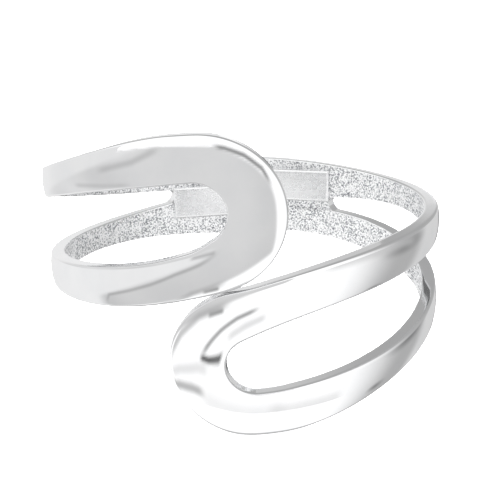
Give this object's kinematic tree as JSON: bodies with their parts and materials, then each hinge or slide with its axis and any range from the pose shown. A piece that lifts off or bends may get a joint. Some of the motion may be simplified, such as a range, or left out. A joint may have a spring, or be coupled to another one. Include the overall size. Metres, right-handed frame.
{
  "type": "hinged bypass cuff bracelet",
  "caption": "Hinged cuff bracelet of polished cast metal: looped halves that pass each other at the front and spring shut about a pin hinge at the back.",
  "frame": {"origin": "centre of the closed bracelet's bounding box, which is the centre of the ring", "axes": "+X to the right half, along the widest inside measure; +Y to the hinge at the back; +Z along the ring axis, to the side where the left half's loop lies at the front"},
  "size_m": [0.0644, 0.0537, 0.0454],
  "materials": {
    "polished_cast_metal": "mirror polish outside, fine as-cast grain inside",
    "stamped_sheet": "satin with fine scratches",
    "hinge_steel": "satin"
  },
  "bodies": {
    "left": {"half_left": "polished_cast_metal", "hinge_pin": "hinge_steel", "cover_left": "stamped_sheet", "leaf_spring": "hinge_steel"},
    "right": {"half_right": "polished_cast_metal", "cover_right": "stamped_sheet"}
  },
  "joints": [
    {"name": "back_hinge", "type": "hinge", "parent": "left", "child": "right", "pos_m": [0, 0.02545, 0], "axis": [0, 0, 1], "range_deg": [0, 60], "stiffness_Nm_per_rad": 0.03, "springref_deg": -20.05, "deforming": ["leaf_spring"]}
  ]
}
